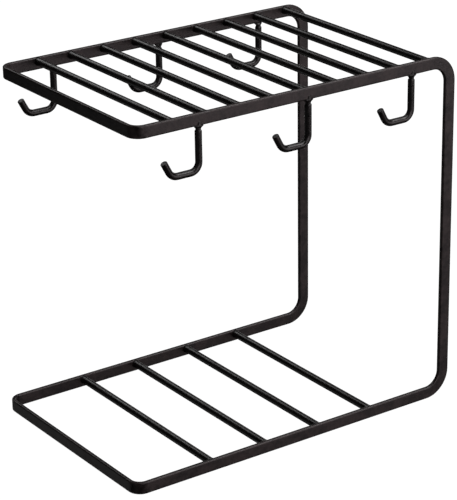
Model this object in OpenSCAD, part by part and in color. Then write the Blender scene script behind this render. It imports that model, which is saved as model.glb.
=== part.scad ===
// Countertop mug tree: a C-shaped flat-bar frame with a wire shelf on top, a wire base below
// and three J-shaped mug hooks under each side rail.
// Millimetres, +Z up. The uprights are at +X, the open end at -X, and the rack rests on z = 0.

/* [Overall] */
// Height from the table to the top edge of the shelf rails
rack_h = 293; // [200:1:400]
// Width across the outer faces of the two side rails
rack_w = 194; // [120:1:280]
// Length of the shelf loop, from the uprights' back edge to its open end
shelf_len = 300; // [240:1:400]
// Length of the base loop, from the uprights' back edge to its open end
base_len = 308; // [240:1:400]

/* [Flat bar] */
// Height of the flat bar's broad face
bar_h = 10; // [8:0.5:14]
// Thickness of the flat bar
bar_t = 3.5; // [3:0.25:6]
// Radius along the four long edges of the flat bar
bar_edge_r = 1.2; // [0.5:0.1:1.4]
// Centreline radius of the four bends where the rails turn into the uprights
back_bend_r = 17; // [12:0.5:22]
// Centreline radius of the four corners at the open ends of the two loops
corner_bend_r = 9; // [5:0.5:16]

/* [Shelf wires] */
// Diameter of the shelf's cross wires
shelf_wire_d = 6; // [4:0.2:7.4]
// Distance from the uprights' back edge to the first shelf wire
shelf_wire_first = 25.5; // [24:0.5:40]
// Distance from the shelf's open end to the last shelf wire
shelf_wire_last = 34.5; // [20:0.5:60]
// How far the top of each shelf wire is below the top edge of the rail
shelf_wire_drop = 0.4; // [0:0.1:2]

/* [Base wires] */
// Diameter of the base's cross wires
base_wire_d = 6.4; // [4:0.2:7.4]
// Distance from the uprights' back edge to the first base wire
base_wire_first = 80.5; // [30:0.5:100]
// Distance from the base's open end to the last base wire
base_wire_last = 72; // [20:0.5:100]
// How far the top of each base wire is below the top edge of the rail
base_wire_drop = 0.4; // [0:0.1:2]

/* [Hooks] */
// Diameter of the hook wire
hook_d = 5.5; // [4:0.1:7]
// Distance from the uprights' back edge to the first hook's shank on the front rail
hook_first = 43.5; // [38:0.5:60]
// Distance from the shelf's open end to the last hook's shank on the front rail
hook_last = 56.5; // [30:0.5:70]
// How much nearer the open end the back rail's hooks are than the front rail's
hook_back_shift = 8; // [0:0.5:14]
// Distance from the rail's lower edge down to the centreline of the hook's arm
hook_drop = 35; // [28:0.5:50]
// Length of the straight part of the hook's arm
hook_arm_len = 11.5; // [6:0.5:20]
// Centreline radius of the bend between the shank and the arm
hook_bend_r = 7.5; // [5:0.5:10]
// Centreline radius of the bend between the arm and the raised tip
hook_tip_bend_r = 8.5; // [5:0.5:12]
// Angle of the raised tip above the arm
hook_tip_angle = 62; // [40:1:75]
// Length of the straight part of the raised tip, end chamfer included
hook_tip_len = 9; // [5:0.5:16]
// Chamfer on the tip's square-cut end
hook_chamfer = 0.5; // [0.2:0.1:1]
// Diameter of the necked end that is welded to the rail
hook_neck_d = 4.2; // [3:0.1:5]
// Length of the necked end
hook_neck_len = 3; // [2:0.5:6]
// Length of the taper from the neck to the full diameter
hook_shoulder_len = 1.5; // [0.5:0.5:3]

/* [Hidden] */
$fn = 64;
QUARTER = 90;
SHELF_WIRES = 9;
BASE_WIRES = 4;
HOOKS_PER_SIDE = 3;

// The uprights' back edge: the longer loop is centred on the origin.
back_x = max(shelf_len, base_len) / 2;
shelf_end_x = back_x - shelf_len;
base_end_x = back_x - base_len;
// Centrelines of the bar: the side rails, the uprights and the two levels.
rail_y = rack_w / 2 - bar_t / 2;
upright_x = back_x - bar_h / 2;
shelf_z = rack_h - bar_h / 2;
base_z = bar_h / 2;
// The wires run from the inner face of one rail to the inner face of the other.
wire_len = rack_w - 2 * bar_t;
shelf_wire_z = rack_h - shelf_wire_drop - shelf_wire_d / 2;
base_wire_z = bar_h - base_wire_drop - base_wire_d / 2;
// The pieces of each row are evenly spaced between its first and its last.
shelf_wire_pitch = (shelf_len - shelf_wire_first - shelf_wire_last) / (SHELF_WIRES - 1);
base_wire_pitch = (base_len - base_wire_first - base_wire_last) / (BASE_WIRES - 1);
hook_pitch = (shelf_len - hook_first - hook_last) / (HOOKS_PER_SIDE - 1);
// The hooks start at the lower edge of the shelf rails.
hook_top_z = rack_h - bar_h;
hook_straight_len = hook_drop - hook_bend_r - hook_neck_len - hook_shoulder_len;
// The raised tip starts this far inside the bend, and is this much thinner all round,
// so that the two overlap cleanly instead of sharing one slanted face.
tip_seat_len = 0.2;
tip_seat_step = 0.05;

steel = [0.14, 0.13, 0.13];

// Section of the flat bar with rounded edges: thickness along X, broad face along Y.
module bar_section() {
  union() {
    square([bar_t - 2 * bar_edge_r, bar_h], center = true);
    square([bar_t, bar_h - 2 * bar_edge_r], center = true);
    for (sx = [-1, 1]) {
      for (sy = [-1, 1]) {
        translate([sx * (bar_t / 2 - bar_edge_r), sy * (bar_h / 2 - bar_edge_r)])
          circle(r = bar_edge_r);
      }
    }
  }
}

// A straight piece of bar along +X from the origin, with its thickness along Y.
module straight_x(len) {
  rotate([90, 0, 90])
    linear_extrude(height = len)
      bar_section();
}

// A straight piece of bar along +Y from the origin, with its thickness along X.
module straight_y(len) {
  rotate([90, 0, 180])
    linear_extrude(height = len)
      bar_section();
}

// A straight piece of bar along +Z from the origin, with its thickness along Y.
module straight_z(len) {
  rotate([0, 0, 90])
    linear_extrude(height = len)
      bar_section();
}

// The corner bend of a loop, in plan: a quarter turn about +Z from angle `start`.
module corner_bend(start) {
  rotate_extrude(angle = QUARTER, start = start)
    translate([corner_bend_r, 0])
      bar_section();
}

// The edgewise bend between a rail and an upright: a quarter turn in the XZ plane.
module back_bend(start) {
  rotate([90, 0, 0])
    rotate_extrude(angle = QUARTER, start = start)
      translate([back_bend_r, 0])
        rotate(QUARTER)
          bar_section();
}

// One level of the frame without its back bends: two rails, two corners and the crossbar.
module level(end_x, z) {
  corner_x = end_x + bar_t / 2 + corner_bend_r;
  corner_y = rail_y - corner_bend_r;
  rail_len = upright_x - back_bend_r - corner_x;
  for (side = [-1, 1]) {
    translate([corner_x, side * rail_y, z])
      straight_x(rail_len);
  }
  translate([corner_x, -corner_y, z])
    corner_bend(180);
  translate([corner_x, corner_y, z])
    corner_bend(90);
  translate([end_x + bar_t / 2, -corner_y, z])
    straight_y(2 * corner_y);
}

// The whole C-shaped frame: one closed loop of flat bar.
module frame_loop() {
  color(steel) {
    level(shelf_end_x, shelf_z);
    level(base_end_x, base_z);
    for (side = [-1, 1]) {
      translate([upright_x, side * rail_y, base_z + back_bend_r])
        straight_z(shelf_z - base_z - 2 * back_bend_r);
      translate([upright_x - back_bend_r, side * rail_y, shelf_z - back_bend_r])
        back_bend(0);
      translate([upright_x - back_bend_r, side * rail_y, base_z + back_bend_r])
        back_bend(270);
    }
  }
}

// A round cross wire between the rails' inner faces.
module cross_wire(x, z, d) {
  color(steel)
    translate([x, -wire_len / 2, z])
      rotate([-90, 0, 0])
        cylinder(h = wire_len, d = d);
}

// Shelf wire i, counted from the uprights towards the open end.
module shelf_wire(i) {
  cross_wire(back_x - shelf_wire_first - (i - 1) * shelf_wire_pitch, shelf_wire_z, shelf_wire_d);
}

// Base wire i, counted from the uprights towards the open end.
module base_wire(i) {
  cross_wire(back_x - base_wire_first - (i - 1) * base_wire_pitch, base_wire_z, base_wire_d);
}

// The hook's necked weld end, taper and straight shank, hanging down from the origin.
module hook_shank() {
  translate([0, 0, -hook_neck_len])
    cylinder(h = hook_neck_len, d = hook_neck_d);
  translate([0, 0, -hook_neck_len - hook_shoulder_len])
    cylinder(h = hook_shoulder_len, d1 = hook_d, d2 = hook_neck_d);
  translate([0, 0, -hook_neck_len - hook_shoulder_len - hook_straight_len])
    cylinder(h = hook_straight_len, d = hook_d);
}

// A bend of the hook wire in the XZ plane about the origin, from angle `start`.
module hook_bend(r, start, turn) {
  rotate([90, 0, 0])
    rotate_extrude(angle = turn, start = start)
      translate([r, 0])
        circle(d = hook_d);
}

// The hook's raised tip from the origin, `lift` degrees above -X, with a chamfered end.
module hook_tip(lift) {
  tip_d = hook_d - 2 * tip_seat_step;
  full_len = hook_tip_len - hook_chamfer;
  rotate([0, lift - QUARTER, 0]) {
    translate([0, 0, -tip_seat_len])
      cylinder(h = full_len + tip_seat_len, d = tip_d);
    translate([0, 0, full_len])
      cylinder(h = hook_chamfer, d1 = tip_d, d2 = tip_d - 2 * hook_chamfer);
  }
}

// One J-shaped hook in the XZ plane, with its weld end at the origin and its arm towards -X.
module hook() {
  arm_start_x = -hook_bend_r;
  arm_end_x = arm_start_x - hook_arm_len;
  tip_x = arm_end_x - hook_tip_bend_r * sin(hook_tip_angle);
  tip_z = -hook_drop + hook_tip_bend_r * (1 - cos(hook_tip_angle));
  hook_shank();
  translate([-hook_bend_r, 0, -hook_drop + hook_bend_r])
    hook_bend(hook_bend_r, 270, QUARTER);
  translate([arm_end_x, 0, -hook_drop])
    rotate([0, QUARTER, 0])
      cylinder(h = hook_arm_len, d = hook_d);
  translate([arm_end_x, 0, -hook_drop + hook_tip_bend_r])
    hook_bend(hook_tip_bend_r, 270 - hook_tip_angle, hook_tip_angle);
  translate([tip_x, 0, tip_z])
    hook_tip(hook_tip_angle);
}

// Hook i under the rail at side -1 (front) or +1 (back), counted from the uprights.
module rail_hook(i, side) {
  shift = side > 0 ? hook_back_shift : 0;
  x = back_x - hook_first - shift - (i - 1) * hook_pitch;
  color(steel)
    translate([x, side * rail_y, hook_top_z])
      hook();
}

frame_loop();
for (i = [1:SHELF_WIRES]) {
  shelf_wire(i);
}
for (i = [1:BASE_WIRES]) {
  base_wire(i);
}
for (i = [1:HOOKS_PER_SIDE]) {
  rail_hook(i, -1);
  rail_hook(i, 1);
}
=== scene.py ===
"""Countertop mug tree in a dark bronze powder coat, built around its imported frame.

One flat bar is bent into a closed C-shaped loop: a shelf above, a base below and two uprights.
Round wires cross the shelf and the base, and three J-shaped hooks hang under each shelf rail.
Metres, +Z up. The uprights stand at +X, the open end is at -X, and the rack rests on z = 0.
"""

import logging
import math
from dataclasses import dataclass, field
from enum import Enum

import bpy
import numpy as np
from mathutils import Matrix, Vector


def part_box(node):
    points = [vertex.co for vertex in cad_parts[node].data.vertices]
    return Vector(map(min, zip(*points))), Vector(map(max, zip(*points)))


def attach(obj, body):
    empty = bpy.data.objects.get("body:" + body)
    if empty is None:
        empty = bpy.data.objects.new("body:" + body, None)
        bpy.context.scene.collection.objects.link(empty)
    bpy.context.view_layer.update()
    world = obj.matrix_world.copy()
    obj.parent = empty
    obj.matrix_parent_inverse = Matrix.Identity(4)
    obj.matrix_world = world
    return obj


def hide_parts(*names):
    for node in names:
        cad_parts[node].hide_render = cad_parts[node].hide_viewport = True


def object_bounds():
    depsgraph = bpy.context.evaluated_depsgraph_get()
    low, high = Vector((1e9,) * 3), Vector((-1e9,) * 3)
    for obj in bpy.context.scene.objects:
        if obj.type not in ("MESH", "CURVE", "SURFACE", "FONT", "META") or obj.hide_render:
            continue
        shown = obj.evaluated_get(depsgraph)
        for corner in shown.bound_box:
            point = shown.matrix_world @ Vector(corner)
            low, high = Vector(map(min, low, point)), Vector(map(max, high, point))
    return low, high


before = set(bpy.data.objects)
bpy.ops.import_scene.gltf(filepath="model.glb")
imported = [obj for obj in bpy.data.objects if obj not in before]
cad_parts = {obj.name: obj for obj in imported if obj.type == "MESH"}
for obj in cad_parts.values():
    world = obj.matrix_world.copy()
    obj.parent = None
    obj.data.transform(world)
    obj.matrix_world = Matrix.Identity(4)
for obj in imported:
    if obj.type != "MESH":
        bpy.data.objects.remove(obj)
cad_low, cad_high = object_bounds()

log = logging.getLogger("mug_tree")

BODY = "root"
MM = 0.001
FULL_TURN = 2.0 * math.pi
QUARTER_TURN = 0.5 * math.pi
RIM_LAYER = "rim"
WELD_LAYER = "weld"
NOISE_MIDDLE = 0.5
# Columns in a row of stations.
PLACE, SIDE_AXIS, OUTWARD_AXIS, CURL = slice(0, 3), slice(3, 6), slice(6, 9), slice(9, 10)
# Sockets of a Mix node that hold colours.
MIX_FIRST, MIX_SECOND, MIX_RESULT = 6, 7, 2
Colour = tuple[float, float, float]
NEUTRAL: Colour = (1.0, 1.0, 1.0)


class Slot(Enum):
    """Names of the record's material slots, not used by the pieces here."""

    FRAME = "frame_coat"
    WIRE = "wire_coat"
    HOOK = "hook_coat"


class Away(Enum):
    """The section axis that a bend turns away from."""

    SIDE = "side"
    OUTWARD = "outward"


# ---------------------------------------------------------------------------------------------
# Paths, sections and meshes
# ---------------------------------------------------------------------------------------------


def hump(value: np.ndarray, start: float, end: float) -> np.ndarray:
    """Eases from 0 at start to 1 at end along a smooth step: 3 t squared minus 2 t cubed.

    Args:
        value: Where to work the step out.
        start: Value at and beyond which the result is 0.
        end: Value at and beyond which the result is 1.

    Returns:
        The step at each value.
    """
    share = np.clip((value - start) / (end - start), 0.0, 1.0)
    return share * share * (3.0 - 2.0 * share)


def dome(value: np.ndarray, start: float, end: float) -> np.ndarray:
    """Rises from 0 at start to 1 at end as a quarter circle, steep at first and level at last.

    With t the share of the way from start to end, it is the root of 1 - (1 - t) squared.

    Args:
        value: Where to work the rise out.
        start: Value at and beyond which the result is 0.
        end: Value at and beyond which the result is 1.

    Returns:
        The rise at each value.
    """
    left = 1.0 - np.clip((value - start) / (end - start), 0.0, 1.0)
    return np.sqrt(np.clip(1.0 - left * left, 0.0, 1.0))


def even_marks(length: float, count: int) -> np.ndarray:
    """Distances that cut a length into count equal steps: i over count times the length."""
    return length * np.arange(1, count + 1) / count


@dataclass
class Path:
    """A centreline of straights and round bends, with the section's two axes at each station.

    The heading, the side axis and the outward axis are square to one another, and the
    outward axis is the heading crossed with the side axis.
    """

    spot: np.ndarray
    heading: np.ndarray
    side: np.ndarray
    rows: list[np.ndarray] = field(default_factory=list)

    def __post_init__(self) -> None:
        """Works out the outward axis and puts down the first station."""
        self.outward = np.cross(self.heading, self.side)
        self.rows.append(self._stack(self.spot[None], self.side[None], self.outward[None],
                                     np.zeros(1)))

    @staticmethod
    def _stack(spots: np.ndarray, sides: np.ndarray, outwards: np.ndarray,
               curl: np.ndarray) -> np.ndarray:
        """Puts place, side axis, outward axis and curl of some stations in one array."""
        return np.concatenate([spots, sides, outwards, curl[:, None]], axis=1)

    def straight(self, marks: np.ndarray) -> "Path":
        """Goes straight ahead: each station is the start plus its mark times the heading.

        Args:
            marks: Distances of the new stations from the present one, the last the longest.

        Returns:
            This path, so that calls can follow one another.
        """
        count = len(marks)
        spots = self.spot + marks[:, None] * self.heading
        sides = np.repeat(self.side[None], count, axis=0)
        outwards = np.repeat(self.outward[None], count, axis=0)
        self.rows.append(self._stack(spots, sides, outwards, np.zeros(count)))
        self.spot = spots[-1]
        return self

    def bend(self, away: Away, radius: float, angle: float, steps: int) -> "Path":
        """Turns the heading away from one section axis, along an arc of the centreline.

        At angle a into the bend the station is radius times sin a ahead and radius times
        (1 - cos a) inwards, and the axis is itself times cos a plus the heading times sin a.
        The curl is the sine of pi times the share of the bend that lies behind the station,
        or 0 where the bend turns away from the side axis.

        Args:
            away: The axis that ends up pointing more along the old heading.
            radius: Radius of the centreline.
            angle: How far the heading turns, in radians.
            steps: Number of stations that the bend adds.

        Returns:
            This path, so that calls can follow one another.
        """
        turned = angle * np.arange(1, steps + 1) / steps
        ahead, inward = np.sin(turned)[:, None], (1.0 - np.cos(turned))[:, None]
        axis = self.side if away is Away.SIDE else self.outward
        spots = self.spot + radius * (ahead * self.heading - inward * axis)
        moved = axis - inward * axis + ahead * self.heading
        still = np.repeat((self.outward if away is Away.SIDE else self.side)[None], steps, axis=0)
        sides, outwards = (moved, still) if away is Away.SIDE else (still, moved)
        curl = np.sin(math.pi * turned / angle) if away is Away.OUTWARD else np.zeros(steps)
        self.rows.append(self._stack(spots, sides, outwards, curl))
        heading = self.heading - inward[-1] * self.heading - ahead[-1] * axis
        self.spot, self.heading = spots[-1], heading
        self.side, self.outward = sides[-1], outwards[-1]
        return self

    def stations(self) -> np.ndarray:
        """All the stations so far, one row each: place, side axis, outward axis and curl."""
        return np.concatenate(self.rows)

    def lengths(self) -> np.ndarray:
        """Distance of each station from the first, summed over the chords."""
        steps = np.linalg.norm(np.diff(self.stations()[:, PLACE], axis=0), axis=1)
        return np.concatenate([[0.0], np.cumsum(steps)])


def sweep(stations: np.ndarray, across: np.ndarray, out: np.ndarray) -> np.ndarray:
    """Carries a section along a path: place + across times side axis + out times outward axis.

    Args:
        stations: Rows from Path.stations.
        across: Section coordinate along the side axis, one row a station or one for all.
        out: Section coordinate along the outward axis, shaped like across.

    Returns:
        Points shaped (stations, points round the section, 3).
    """
    spots, sides, outwards = (stations[:, None, part] for part in (PLACE, SIDE_AXIS, OUTWARD_AXIS))
    return spots + across[..., None] * sides + out[..., None] * outwards


def ring_faces(rings: int, around: int, looped: bool) -> np.ndarray:
    """Quads between neighbouring rings, facing away from the path.

    Face (i, j) takes points (i, j), (i, j + 1), (i + 1, j + 1) and (i + 1, j), where columns
    count round and round, and so do rings on a looped path.

    Args:
        rings: Number of rings.
        around: Number of points in a ring.
        looped: True if the last ring joins the first.

    Returns:
        Point numbers, four to a row.
    """
    ring, column = np.meshgrid(np.arange(rings if looped else rings - 1), np.arange(around),
                               indexing="ij")
    after, beside = (ring + 1) % rings, (column + 1) % around
    corners = [ring * around + column, ring * around + beside,
               after * around + beside, after * around + column]
    return np.stack(corners, axis=-1).reshape(-1, 4)


def cap_faces(rings: int, around: int) -> np.ndarray:
    """Triangles that close both ends of an open sweep on two poles added after the rings.

    Args:
        rings: Number of rings.
        around: Number of points in a ring.

    Returns:
        Point numbers, three to a row. The first pole's number is rings times around.
    """
    column = np.arange(around)
    beside = (column + 1) % around
    first_pole = np.full(around, rings * around)
    last = (rings - 1) * around
    start = np.stack([first_pole, beside, column], axis=-1)
    end = np.stack([first_pole + 1, last + column, last + beside], axis=-1)
    return np.concatenate([start, end])


def put_mesh(name: str, points: np.ndarray, looped: bool,
             layers: dict[str, np.ndarray]) -> bpy.types.Object:
    """Makes a smooth-shaded object from a swept grid, closing its ends if it isn't a loop.

    Args:
        name: Name of the piece.
        points: Grid of points, shaped (rings, points round a ring, 3).
        looped: True if the last ring joins the first.
        layers: Values to keep on the points, by layer name, each stretched over the grid.

    Returns:
        The new object, at the origin, in the scene's collection.
    """
    rings, around = points.shape[:2]
    flat = points.reshape(-1, 3)
    quads = ring_faces(rings, around, looped)
    triangles = np.empty((0, 3), int)
    if not looped:
        flat = np.concatenate([flat, points[:1].mean(axis=1), points[-1:].mean(axis=1)])
        triangles = cap_faces(rings, around)
    sides = np.concatenate([np.full(len(faces), faces.shape[1]) for faces in (quads, triangles)])
    corners = np.concatenate([quads.ravel(), triangles.ravel()])
    mesh = bpy.data.meshes.new(name)
    mesh.vertices.add(len(flat))
    mesh.loops.add(len(corners))
    mesh.polygons.add(len(sides))
    mesh.vertices.foreach_set("co", flat.astype(np.float32).ravel())
    mesh.loops.foreach_set("vertex_index", corners.astype(np.int32))
    starts = np.concatenate([[0], np.cumsum(sides)[:-1]])
    mesh.polygons.foreach_set("loop_start", starts.astype(np.int32))
    mesh.polygons.foreach_set("use_smooth", np.ones(len(sides), bool))
    mesh.update(calc_edges=True)
    mesh.validate()
    for layer, values in layers.items():
        kept = np.broadcast_to(values, (rings, around)).ravel()
        if not looped:
            kept = np.concatenate([kept, kept[:1], kept[-1:]])
        attribute = mesh.attributes.new(layer, "FLOAT", "POINT")
        attribute.data.foreach_set("value", kept.astype(np.float32))
    piece = bpy.data.objects.new(name, mesh)
    bpy.context.scene.collection.objects.link(piece)
    return piece


def hand_over(piece: bpy.types.Object, node: str,
              material: bpy.types.Material) -> None:
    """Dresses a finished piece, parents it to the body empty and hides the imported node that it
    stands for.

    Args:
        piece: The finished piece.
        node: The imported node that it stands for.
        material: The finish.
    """
    piece.data.materials.append(material)
    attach(piece, BODY)
    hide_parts(node)
    log.info("%s stands for %s: %d faces", piece.name, node, len(piece.data.polygons))


# ---------------------------------------------------------------------------------------------
# Finishes
# ---------------------------------------------------------------------------------------------


class Signal:
    """A node's output in an expression: each operator adds the Math node that it stands for."""

    def __init__(self, bench: "Bench", socket: bpy.types.NodeSocket) -> None:
        """Keeps the socket and the bench that its nodes are made on."""
        self.bench = bench
        self.socket = socket

    def _maths(self, operation: str, first: "Signal | float", second: "Signal | float") -> "Signal":
        """One Math node on two values."""
        return self.bench.node("ShaderNodeMath", {"operation": operation}, {0: first, 1: second})

    def __add__(self, other: "Signal | float") -> "Signal":
        """This plus other."""
        return self._maths("ADD", self, other)

    def __radd__(self, other: float) -> "Signal":
        """Other plus this."""
        return self._maths("ADD", other, self)

    def __sub__(self, other: "Signal | float") -> "Signal":
        """This minus other."""
        return self._maths("SUBTRACT", self, other)

    def __rsub__(self, other: float) -> "Signal":
        """Other minus this."""
        return self._maths("SUBTRACT", other, self)

    def __mul__(self, other: "Signal | float") -> "Signal":
        """This times other."""
        return self._maths("MULTIPLY", self, other)

    def __rmul__(self, other: float) -> "Signal":
        """Other times this."""
        return self._maths("MULTIPLY", other, self)


class Bench:
    """Makes the nodes of one material or world and joins them up."""

    def __init__(self, tree: bpy.types.NodeTree) -> None:
        """Starts on an empty node tree."""
        tree.nodes.clear()
        self.tree = tree

    def node(self, kind: str, settings: dict[str, object] | None = None,
             inputs: dict[str | int, object] | None = None, output: str | int = 0) -> Signal:
        """Adds one node, sets it, feeds its sockets and gives one of its outputs.

        Args:
            kind: The node's type.
            settings: Properties to set first, by name.
            inputs: Signals to join or values to put on the sockets, by name or number.
            output: The output to give, by name or number.

        Returns:
            The chosen output.
        """
        made = self.tree.nodes.new(kind)
        for name, value in (settings or {}).items():
            setattr(made, name, value)
        for name, value in (inputs or {}).items():
            if isinstance(value, Signal):
                self.tree.links.new(value.socket, made.inputs[name])
            else:
                made.inputs[name].default_value = value
        picked = made.outputs[output] if len(made.outputs) else made.inputs[0]
        return Signal(self, picked)

    def noise(self, place: Signal, grain: float, detail: float, contrast: float = 1.0) -> Signal:
        """Cloudy noise about zero: the raw noise less its middle, times twice the contrast.

        Args:
            place: Where on the piece, in metres.
            grain: Width of one cloud, in metres.
            detail: How many finer layers are added.
            contrast: How far the noise swings either side of zero, roughly.

        Returns:
            The noise.
        """
        raw = self.node("ShaderNodeTexNoise", {"noise_dimensions": "3D"},
                        {"Vector": place, "Scale": 1.0 / grain, "Detail": detail})
        return (raw - NOISE_MIDDLE) * (2.0 * contrast)

    def between(self, value: Signal, low: float, high: float) -> Signal:
        """Smooth step of a value from 0 at low to 1 at high."""
        return self.node("ShaderNodeMapRange", {"interpolation_type": "SMOOTHSTEP"},
                         {"Value": value, "From Min": low, "From Max": high})

    def blend(self, share: Signal, first: object, second: object) -> Signal:
        """Mixes two colours, first at 0 and second at 1."""
        return self.node("ShaderNodeMix", {"data_type": "RGBA"},
                         {"Factor": share, MIX_FIRST: first, MIX_SECOND: second}, MIX_RESULT)


def opaque(colour: Colour) -> tuple[float, float, float, float]:
    """A colour with full alpha."""
    return (*colour, 1.0)


@dataclass(frozen=True)
class PowderCoat:
    """Satin powder coat in a dark bronze, slightly uneven, thin over welds, its edges lightened
    partly as wear and partly as a painted highlight.
    """

    name: str
    tone: Colour = (0.0030, 0.0021, 0.0021)
    light_tone: Colour = (0.0460, 0.0345, 0.0338)
    # Lighter colour for the rounded edges: partly worn coat, partly a painted highlight along the
    # bar's edges.
    edge_tone: Colour = (0.0560, 0.0440, 0.0400)
    gloss_tint: Colour = (1.0, 0.95, 0.96)
    roughness: float = 0.36
    roughness_swing: float = 0.15
    cloud_dulling: float = 0.5
    weld_dulling: float = 0.10
    wear_polish: float = 0.05
    cloud_width: float = 16.0 * MM
    cloud_detail: float = 2.0
    cloud_share: float = 0.6
    blotch_width: float = 4.0 * MM
    blotch_detail: float = 3.0
    blotch_share: float = 0.5
    uneven_limit: float = 0.35
    uneven_weight: float = 0.62
    fleck_width: float = 0.9 * MM
    fleck_core: float = 0.08
    fleck_edge: float = 0.30
    fleck_weight: float = 0.38
    # Shape and strength of the edge lightening, which is partly wear and partly painted highlight.
    wear_and_highlight_patchiness: float = 0.45
    wear_and_highlight_start: float = 0.75
    wear_and_highlight_end: float = 1.25
    wear_and_highlight_strength: float = 0.45
    peel_width: float = 1.3 * MM
    peel_depth: float = 0.030 * MM
    grain_width: float = 0.28 * MM
    grain_depth: float = 0.006 * MM
    weld_width: float = 1.1 * MM
    weld_depth: float = 0.07 * MM
    relief_detail: float = 1.0

    def make(self) -> bpy.types.Material:
        """Builds the coat's nodes.

        Clouds and blotches move the colour and the roughness, flecks add a faint bronze
        sparkle, the rim layer lightens the long edges in patches, partly as wear and partly
        as a painted highlight along them, and the weld layer adds ripples. Peel, grain and
        ripples raise the surface in metres through a bump.

        Returns:
            The new material.
        """
        material = bpy.data.materials.new(self.name)
        material.use_nodes = True
        bench = Bench(material.node_tree)
        place = bench.node("ShaderNodeTexCoord", output="Object")
        rim = bench.node("ShaderNodeAttribute", {"attribute_name": RIM_LAYER}, output="Fac")
        weld = bench.node("ShaderNodeAttribute", {"attribute_name": WELD_LAYER}, output="Fac")
        cloud = bench.noise(place, self.cloud_width, self.cloud_detail)
        blotch = bench.noise(place, self.blotch_width, self.blotch_detail)
        uneven = bench.between(self.cloud_share * cloud + self.blotch_share * blotch,
                               -self.uneven_limit, self.uneven_limit)
        cells = bench.node("ShaderNodeTexVoronoi", {"feature": "F1"},
                           {"Vector": place, "Scale": 1.0 / self.fleck_width})
        fleck = 1.0 - bench.between(cells, self.fleck_core, self.fleck_edge)
        # Mask for the edge lightening: wear at the hook tips, and wear plus a painted highlight
        # along the bar's edges.
        wear_and_highlight = bench.between(rim + self.wear_and_highlight_patchiness * blotch, self.wear_and_highlight_start, self.wear_and_highlight_end)
        mottle = self.uneven_weight * uneven + self.fleck_weight * fleck
        coat = bench.blend(mottle, opaque(self.tone), opaque(self.light_tone))
        colour = bench.blend(self.wear_and_highlight_strength * wear_and_highlight, coat, opaque(self.edge_tone))
        dull = self.roughness + self.roughness_swing * (blotch + self.cloud_dulling * cloud)
        roughness = dull + self.weld_dulling * weld - self.wear_polish * wear_and_highlight
        peel = bench.noise(place, self.peel_width, self.relief_detail, self.peel_depth)
        grain = bench.noise(place, self.grain_width, self.relief_detail, self.grain_depth)
        ripple = bench.noise(place, self.weld_width, self.relief_detail, self.weld_depth) * weld
        relief = {"Height": peel + grain + ripple, "Strength": 1.0, "Distance": 1.0}
        bump = bench.node("ShaderNodeBump", inputs=relief, output="Normal")
        shader = bench.node("ShaderNodeBsdfPrincipled",
                            inputs={"Base Color": colour, "Roughness": roughness, "Normal": bump,
                                    "Specular Tint": opaque(self.gloss_tint)})
        bench.node("ShaderNodeOutputMaterial", inputs={"Surface": shader})
        return material


@dataclass(frozen=True)
class RoundWireCoat(PowderCoat):
    """The same coat on round wire, smoother and with a white gloss; its colour is set darker than
    the bar's as painted shade, deepening the wire's shaded side.
    """

    # Darker than the bar's light tone: painted shade for the shaded side of the round wires.
    light_tone: Colour = (0.0190, 0.0152, 0.0150)
    gloss_tint: Colour = NEUTRAL
    roughness: float = 0.30


# ---------------------------------------------------------------------------------------------
# The bent flat bar
# ---------------------------------------------------------------------------------------------


@dataclass
class FlatBar:
    """Section of the flat bar: a rectangle with four rounded edges."""

    thickness: float
    height: float
    edge_radius: float = 1.2 * MM
    arc_steps: int = 6
    flat_guard: float = 0.15 * MM

    def outline(self) -> tuple[np.ndarray, np.ndarray, np.ndarray]:
        """The section's points, edge after edge, from the side axis to the outward axis.

        Each of the four rounded edges is a quarter circle about a centre set in from both
        faces by the edge radius, and a guard point lies on the flat on either side of it.
        The rim value is the sine of twice the angle into the edge, so it is 1 half way.

        Returns:
            The points across, the points outward and their rim values.
        """
        turn = np.linspace(0.0, QUARTER_TURN, self.arc_steps + 1)
        ahead = np.concatenate([[-self.flat_guard], np.zeros(len(turn)), [self.flat_guard]])
        turn = np.concatenate([turn[:1], turn, turn[-1:]])
        start = QUARTER_TURN * np.arange(4)[:, None]
        angle = start + turn
        centre = start + 0.5 * QUARTER_TURN
        across = (np.sign(np.cos(centre)) * (0.5 * self.thickness - self.edge_radius)
                  + self.edge_radius * np.cos(angle) - ahead * np.sin(angle))
        out = (np.sign(np.sin(centre)) * (0.5 * self.height - self.edge_radius)
               + self.edge_radius * np.sin(angle) + ahead * np.cos(angle))
        rim = np.broadcast_to(np.sin(2.0 * turn), angle.shape)
        return across.ravel(), out.ravel(), rim.ravel()


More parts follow.
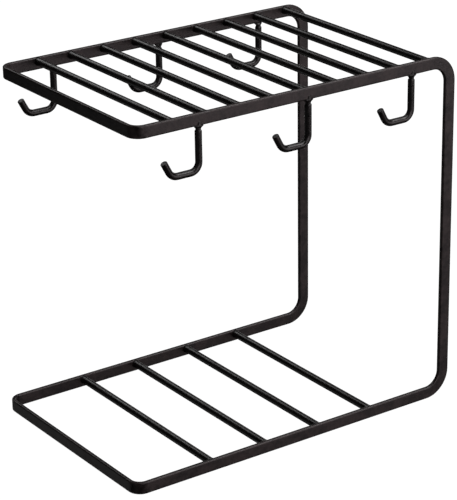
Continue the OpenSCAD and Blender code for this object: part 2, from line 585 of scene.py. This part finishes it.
@dataclass
class FrameLoop:
    """The flat bar bent into a shelf loop, two uprights and a base loop, welded into one."""

    shelf_setback: float = 8.0 * MM
    back_bend_radius: float = 17.0 * MM
    corner_radius: float = 9.0 * MM
    station_step: float = 5.0 * MM
    least_steps: int = 2
    bend_steps: int = 14
    inner_swell: float = 0.06
    node: str = "frame_loop"

    def path(self, bar: FlatBar) -> Path:
        """Walks the bar once round the rack, from the middle of the base's crossbar.

        Args:
            bar: The bar's section.

        Returns:
            The path. Its last station falls on the first.
        """
        low, high = (np.array(corner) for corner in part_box(self.node))
        half_bar = 0.5 * bar.thickness
        half_cross = high[1] - half_bar - self.corner_radius
        rail = high[0] - low[0] - 0.5 * bar.height - half_bar - self.back_bend_radius
        base_rail = rail - self.corner_radius
        shelf_rail = base_rail - self.shelf_setback
        upright = high[2] - low[2] - bar.height - 2.0 * self.back_bend_radius
        start = np.array([low[0] + half_bar, 0.0, low[2] + 0.5 * bar.height])
        path = Path(start, np.array([0.0, -1.0, 0.0]), np.array([-1.0, 0.0, 0.0]))
        back = (Away.OUTWARD, self.back_bend_radius, QUARTER_TURN, self.bend_steps)
        corner = (Away.SIDE, self.corner_radius, QUARTER_TURN, self.bend_steps)
        path.straight(self.marks(half_cross)).bend(*corner).straight(self.marks(base_rail))
        path.bend(*back).straight(self.marks(upright)).bend(*back)
        path.straight(self.marks(shelf_rail)).bend(*corner).straight(self.marks(2 * half_cross))
        path.bend(*corner).straight(self.marks(shelf_rail)).bend(*back)
        path.straight(self.marks(upright)).bend(*back).straight(self.marks(base_rail))
        return path.bend(*corner).straight(self.marks(half_cross))

    def marks(self, length: float) -> np.ndarray:
        """Evenly spaced distances along a straight, about one station step apart."""
        return even_marks(length, max(self.least_steps, round(length / self.station_step)))

    def build(self, bar: FlatBar) -> bpy.types.Object:
        """Sweeps the bar round the path.

        In the edgewise bends the section swells towards the inside: its points across are
        multiplied by 1 minus swell times curl times their share of the way outward.

        Args:
            bar: The bar's section.

        Returns:
            The frame, one closed loop.
        """
        stations = self.path(bar).stations()[:-1]
        across, out, rim = bar.outline()
        swell = self.inner_swell * stations[:, CURL] * out / (0.5 * bar.height)
        points = sweep(stations, across * (1.0 - swell), np.broadcast_to(out, swell.shape))
        # The rim layer marks the bar's rounded edges, where the coat is lightened partly as wear
        # and partly as a painted highlight.
        layers = {RIM_LAYER: rim, WELD_LAYER: np.zeros(1)}
        return put_mesh("coated_frame", points, True, layers)

    def dress(self, piece: bpy.types.Object, coat: bpy.types.Material) -> None:
        """Gives the frame its coat, parents it to the body and hides its imported node."""
        hand_over(piece, self.node, coat)


# ---------------------------------------------------------------------------------------------
# Cross wires
# ---------------------------------------------------------------------------------------------


@dataclass
class CrossWires:
    """A row of straight round wires, each welded between the rails with a small fillet."""

    level: str
    count: int
    fillet_rise: float = 0.4 * MM
    fillet_sag: float = 0.15
    fillet_reach: float = 3.0 * MM
    fillet_steps: int = 12
    sink: float = 0.7 * MM
    span_steps: int = 26
    around: int = 40
    ripple: float = 0.08
    ripple_waves: int = 3
    weld_look: float = 0.3

    def node(self, index: int) -> str:
        """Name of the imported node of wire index."""
        return f"{self.level}_wire_{index}"

    def build(self, index: int) -> bpy.types.Object:
        """Makes one wire, thickened by a hollow fillet where it meets each rail.

        The radius is the wire's own plus the fillet's rise times its height at that distance
        from the rail. The rise is largest underneath and smallest on top, as 1 plus sag times
        the sine of the angle round the wire, and wavers by ripple times the sine of the waves
        times that angle plus the wire's number times (1 + y), so that joints differ.

        Args:
            index: The wire's number, from the uprights.

        Returns:
            The wire, closed at both ends inside the rails.
        """
        low, high = (np.array(corner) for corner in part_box(self.node(index)))
        centre, span, radius = 0.5 * (low + high), high[1] - low[1], 0.5 * (high[2] - low[2])
        near = self.fillet_reach * np.arange(self.fillet_steps + 1) / self.fillet_steps
        middle = np.linspace(self.fillet_reach, span - self.fillet_reach, self.span_steps)[1:-1]
        marks = np.concatenate([near, middle, span - near[::-1], [span + self.sink]]) + self.sink
        start = np.array([centre[0], low[1] - self.sink, centre[2]])
        path = Path(start, np.array([0.0, 1.0, 0.0]), np.array([1.0, 0.0, 0.0])).straight(marks)
        stations = path.stations()
        station_y = stations[:, 1:2]
        from_rail = 0.5 * span - np.abs(station_y - centre[1])
        height = 1.0 - dome(from_rail, 0.0, self.fillet_reach)
        angle = FULL_TURN * np.arange(self.around) / self.around
        waver = self.ripple * np.sin(self.ripple_waves * angle + index * (1.0 + station_y))
        rise = self.fillet_rise * (1.0 + self.fillet_sag * np.sin(angle) + waver)
        size = radius + rise * height
        points = sweep(stations, size * np.cos(angle), size * np.sin(angle))
        weld = self.weld_look * hump(from_rail, self.fillet_reach, 0.0)
        layers = {RIM_LAYER: np.zeros(1), WELD_LAYER: weld}
        return put_mesh(f"coated_{self.node(index)}", points, False, layers)

    def dress(self, index: int, piece: bpy.types.Object, coat: bpy.types.Material) -> None:
        """Gives one wire its coat, parents it to the body and hides its imported node."""
        hand_over(piece, self.node(index), coat)


# ---------------------------------------------------------------------------------------------
# Mug hooks
# ---------------------------------------------------------------------------------------------


@dataclass
class MugHooks:
    """Three J-shaped hooks of round wire under one shelf rail."""

    rail: str
    outer_side: float
    count: int = 3
    wire: float = 5.5 * MM
    neck: float = 4.2 * MM
    neck_length: float = 3.3 * MM
    shoulder_length: float = 1.1 * MM
    drop: float = 35.0 * MM
    arm_length: float = 11.5 * MM
    heel_radius: float = 7.5 * MM
    toe_radius: float = 8.5 * MM
    tip_angle: float = math.radians(62.0)
    tip_length: float = 9.0 * MM
    tip_round: float = 0.55 * MM
    tip_steps: int = 5
    climb: float = 3.8 * MM
    climb_proud: float = 1.15 * MM
    weld_spread: float = 1.9 * MM
    weld_reach: float = 2.6 * MM
    weld_fall: float = 1.4 * MM
    weld_sink: float = 0.35 * MM
    weld_look: float = 1.6
    least_width: float = 0.2 * MM
    end_inset: float = 0.25 * MM
    cut_band: float = 0.3 * MM
    wear_band: float = 1.2 * MM
    wear: float = 0.4
    neck_steps: int = 28
    shank_steps: int = 5
    straight_steps: int = 3
    bend_steps: int = 16
    around: int = 36

    def node(self, index: int) -> str:
        """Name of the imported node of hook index."""
        return f"hook_{self.rail}_{index}"

    def path(self, index: int) -> Path:
        """Walks the wire down the shank, round the heel, along the arm and up the tip.

        Stations lie closest where the section changes. Round the tip's end they are the
        tip's rounding times the sine of evenly spaced angles past its body, and the last
        one is there twice, for the end face.

        Args:
            index: The hook's number, from the uprights.

        Returns:
            The path, from the top of the weld inside the rail to the tip's end.
        """
        low, high = (np.array(corner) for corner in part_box(self.node(index)))
        shank_x = high[0] - 0.5 * self.wire
        start = np.array([shank_x, 0.5 * (low[1] + high[1]), high[2] + self.climb])
        down, side = np.array([0.0, 0.0, -1.0]), np.array([0.0, 1.0, 0.0])
        fine = self.climb + self.neck_length + self.shoulder_length
        shank = self.climb + self.drop - self.heel_radius
        marks = np.concatenate([np.linspace(0.0, fine, self.neck_steps + 1)[1:],
                                np.linspace(fine, shank, self.shank_steps + 1)[1:]])
        path = Path(start, down, side).straight(marks)
        path.bend(Away.OUTWARD, self.heel_radius, QUARTER_TURN, self.bend_steps)
        path.straight(even_marks(self.arm_length, self.straight_steps))
        path.bend(Away.OUTWARD, self.toe_radius, self.tip_angle, self.bend_steps)
        body = self.tip_length - self.tip_round
        turn = np.linspace(0.0, QUARTER_TURN, self.tip_steps + 1)
        rounding = body + self.tip_round * np.sin(turn)
        tip = [even_marks(body, self.straight_steps)[:-1], rounding, rounding[-1:]]
        return path.straight(np.concatenate(tip))

    def build(self, index: int, bar: FlatBar) -> bpy.types.Object:
        """Sweeps a round section whose size changes along the wire.

        Below the rail the radius rises from the neck's to the wire's along a quarter
        circle. Towards the weld the section widens along the rail and its centre leans to
        the rail's outer face. Above the rail's lower edge its width and the height that it
        stands proud of that face fall along a quarter circle, which leaves a round-topped
        lump of weld. The tip's end is rounded by a quarter circle, and a last ring inside
        it keeps the end face flat. The weld layer covers the neck and the cut end, and the
        rim layer wears the tip a little.

        Args:
            index: The hook's number, from the uprights.
            bar: The rail's section.

        Returns:
            The hook, closed inside the rail and at its tip.
        """
        path = self.path(index)
        stations, length = path.stations(), path.lengths()
        below, total = length - self.climb, length[-1]
        shoulder = dome(below, self.neck_length, self.neck_length + self.shoulder_length)
        body = 0.5 * (self.neck + (self.wire - self.neck) * shoulder)
        body = body - self.tip_round * (1.0 - dome(total - length, 0.0, self.tip_round))
        body[-1] = body[-2] - self.end_inset
        rise = dome(below, -self.climb, 0.0)
        flare = hump(below, self.weld_reach, 0.0) * hump(below, -self.weld_fall, 0.0)
        along = np.maximum(body * rise + self.weld_spread * flare, self.least_width)
        proud = self.climb_proud * rise - self.weld_sink * (1.0 - rise)
        buried = 0.5 * self.neck - self.climb_proud
        deep = np.where(below < 0.0, proud + buried, body)
        lean = 0.5 * bar.thickness - buried
        centre = self.outer_side * lean * hump(below, self.weld_fall, 0.0)
        angle = FULL_TURN * np.arange(self.around) / self.around
        across = centre[:, None] + deep[:, None] * np.cos(angle)
        out = along[:, None] * np.sin(angle)
        points = sweep(stations, across, out)
        weld = hump(below, self.weld_look * self.weld_reach, 0.0)
        cut_end = hump(length, total - self.cut_band, total)
        worn_tip = self.wear * hump(length, total - self.wear_band, total)
        layers = {RIM_LAYER: worn_tip[:, None], WELD_LAYER: (weld + cut_end)[:, None]}
        return put_mesh(f"coated_{self.node(index)}", points, False, layers)

    def dress(self, index: int, piece: bpy.types.Object, coat: bpy.types.Material) -> None:
        """Gives one hook its coat, parents it to the body and hides its imported node."""
        hand_over(piece, self.node(index), coat)


# ---------------------------------------------------------------------------------------------
# Studio
# ---------------------------------------------------------------------------------------------


def looking_back(azimuth: float, elevation: float) -> Vector:
    """Direction from the rack to something at an azimuth and elevation, in degrees."""
    turn, lift = math.radians(azimuth), math.radians(elevation)
    return Vector((math.sin(turn) * math.cos(lift), -math.cos(turn) * math.cos(lift),
                   math.sin(lift)))


@dataclass(frozen=True)
class Softbox:
    """A large soft light that faces the rack."""

    name: str
    azimuth: float
    elevation: float
    width: float
    height: float
    glow: float
    tint: Colour = NEUTRAL
    distance: float = 2.2

    def hang(self, centre: Vector) -> None:
        """Puts the light in place, unseen by the camera.

        Its power is pi times its area times its glow, the brightness of its face.

        Args:
            centre: The point that it faces.
        """
        lamp = bpy.data.lights.new(self.name, "AREA")
        lamp.shape = "RECTANGLE"
        lamp.size, lamp.size_y = self.width, self.height
        lamp.energy = math.pi * self.width * self.height * self.glow
        lamp.color = self.tint
        holder = bpy.data.objects.new(self.name, lamp)
        back = looking_back(self.azimuth, self.elevation)
        holder.location = centre + back * self.distance
        holder.rotation_mode = "QUATERNION"
        holder.rotation_quaternion = (-back).to_track_quat("-Z", "Y")
        holder.visible_camera = False
        bpy.context.scene.collection.objects.link(holder)


@dataclass
class Studio:
    """A plain pale floor, soft lights and the camera."""

    azimuth: float = -34.919
    elevation: float = 21.921
    roll: float = -0.858
    distance: float = 1.77745
    pan_right: float = 0.00199
    pan_up: float = -0.01222
    lens: float = 159.577
    floor_half: float = 12.0
    floor_gap: float = 0.3 * MM
    floor_tone: Colour = (0.10, 0.10, 0.10)
    floor_roughness: float = 0.9
    floor_glow: float = 1.0
    backdrop: Colour = NEUTRAL
    backdrop_strength: float = 1.0
    ambient: float = 0.014
    key_tint: Colour = (1.0, 0.97, 0.98)
    card_tint: Colour = (1.0, 0.92, 0.94)
    low_tint: Colour = (1.0, 0.90, 0.93)

    def build(self) -> None:
        """Sets up everything round the rack."""
        self.lay_floor()
        self.light_world()
        centre = Vector((cad_low + cad_high) / 2)
        for light in self.softboxes():
            light.hang(centre)
        self.place_camera(centre)
        bpy.context.scene.view_settings.view_transform = "Standard"

    def softboxes(self) -> list[Softbox]:
        """The lights: the key and three cards before the rack, then those round its other sides.

        Returns:
            The softboxes, with angles in degrees round the rack and sizes in metres.
        """
        key, card, low = self.key_tint, self.card_tint, self.low_tint
        return [
            Softbox("key", azimuth=52.0, elevation=47.0, width=1.1, height=0.9, glow=4.8,
                    tint=key),
            Softbox("front_card", azimuth=-5.0, elevation=6.0, width=1.0, height=0.9, glow=2.9,
                    tint=card),
            Softbox("side_card", azimuth=33.0, elevation=4.0, width=1.0, height=0.9, glow=2.6,
                    tint=card),
            Softbox("low_card", azimuth=32.0, elevation=-20.0, width=1.0, height=0.9, glow=0.55,
                    tint=low),
            Softbox("rear_bank", azimuth=180.0, elevation=37.0, width=1.0, height=0.55, glow=2.3),
            Softbox("overhead", azimuth=10.0, elevation=76.0, width=1.2, height=1.2, glow=2.4),
            Softbox("right_bank", azimuth=112.0, elevation=54.0, width=1.0, height=0.9, glow=1.4),
            Softbox("back_card", azimuth=120.0, elevation=-10.0, width=2.6, height=1.4, glow=1.1),
            Softbox("left_card", azimuth=-70.0, elevation=-20.0, width=1.4, height=1.0, glow=0.10),
            Softbox("left_bank", azimuth=-95.0, elevation=25.0, width=1.4, height=1.0, glow=0.15),
            Softbox("low_fill", azimuth=-140.0, elevation=-32.0, width=1.8, height=1.2, glow=0.15),
        ]

    def lay_floor(self) -> None:
        """Makes the floor, a touch below the rack, and keeps its light and shade off the rack."""
        half, level = self.floor_half, cad_low[2] - self.floor_gap
        mesh = bpy.data.meshes.new("floor")
        corners = [(-half, -half, level), (half, -half, level),
                   (half, half, level), (-half, half, level)]
        mesh.from_pydata(corners, [], [(0, 1, 2, 3)])
        floor = bpy.data.objects.new("floor", mesh)
        bpy.context.scene.collection.objects.link(floor)
        material = bpy.data.materials.new("floor_paint")
        material.use_nodes = True
        bench = Bench(material.node_tree)
        paint = bench.node("ShaderNodeBsdfPrincipled",
                           inputs={"Base Color": opaque(self.floor_tone),
                                   "Roughness": self.floor_roughness,
                                   "Emission Color": opaque(self.backdrop),
                                   "Emission Strength": self.floor_glow})
        bench.node("ShaderNodeOutputMaterial", inputs={"Surface": paint})
        mesh.materials.append(material)
        floor.visible_glossy = False
        floor.visible_diffuse = False
        floor.visible_shadow = False

    def light_world(self) -> None:
        """Makes the surroundings white to look at and dim to the rack."""
        world = bpy.data.worlds.new("surroundings")
        bpy.context.scene.world = world
        world.use_nodes = True
        bench = Bench(world.node_tree)
        seen = bench.node("ShaderNodeLightPath", output="Is Camera Ray")
        strength = seen * (self.backdrop_strength - self.ambient) + self.ambient
        glow = bench.node("ShaderNodeBackground",
                          inputs={"Color": opaque(self.backdrop), "Strength": strength})
        bench.node("ShaderNodeOutputWorld", inputs={"Surface": glow})

    def place_camera(self, centre: Vector) -> None:
        """Puts the camera at its angle, panned a little off the rack's centre.

        Args:
            centre: Middle of the rack's box.
        """
        back = looking_back(self.azimuth, self.elevation)
        right = Vector((0.0, 0.0, 1.0)).cross(back).normalized()
        upward = back.cross(right)
        turn = math.radians(self.roll)
        tilted_right = right * math.cos(turn) + upward * math.sin(turn)
        tilted_up = upward * math.cos(turn) - right * math.sin(turn)
        data = bpy.data.cameras.new("camera")
        data.lens = self.lens
        camera = bpy.data.objects.new("camera", data)
        spot = (centre + back * self.distance + tilted_right * self.pan_right
                + tilted_up * self.pan_up)
        axes = Matrix((tilted_right, tilted_up, back)).transposed().to_4x4()
        camera.matrix_world = Matrix.Translation(spot) @ axes
        bpy.context.scene.collection.objects.link(camera)
        bpy.context.scene.camera = camera


# ---------------------------------------------------------------------------------------------
# The whole rack
# ---------------------------------------------------------------------------------------------


def rail_bar() -> FlatBar:
    """Reads the bar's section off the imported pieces.

    Returns:
        A bar as thick as the rails stand out past the wires' ends, and as high as they
        stand above the hooks' tops.
    """
    _, loop_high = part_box("frame_loop")
    _, wire_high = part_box("shelf_wire_1")
    _, hook_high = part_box("hook_front_1")
    return FlatBar(thickness=loop_high[1] - wire_high[1], height=loop_high[2] - hook_high[2])


def main() -> None:
    """Builds the rack piece by piece, then the studio round it."""
    logging.basicConfig(level=logging.INFO, format="%(name)s: %(message)s")
    frame_coat = PowderCoat("frame_powder_coat").make()
    wire_coat = RoundWireCoat("wire_powder_coat").make()
    hook_coat = RoundWireCoat("hook_powder_coat").make()
    bar = rail_bar()
    loop = FrameLoop()
    loop.dress(loop.build(bar), frame_coat)
    for wires in (CrossWires("shelf", count=9), CrossWires("base", count=4)):
        for index in range(1, wires.count + 1):
            wires.dress(index, wires.build(index), wire_coat)
    for hooks in (MugHooks("front", outer_side=-1.0), MugHooks("back", outer_side=1.0)):
        for index in range(1, hooks.count + 1):
            hooks.dress(index, hooks.build(index, bar), hook_coat)
    Studio().build()


if __name__ == "__main__":
    main()
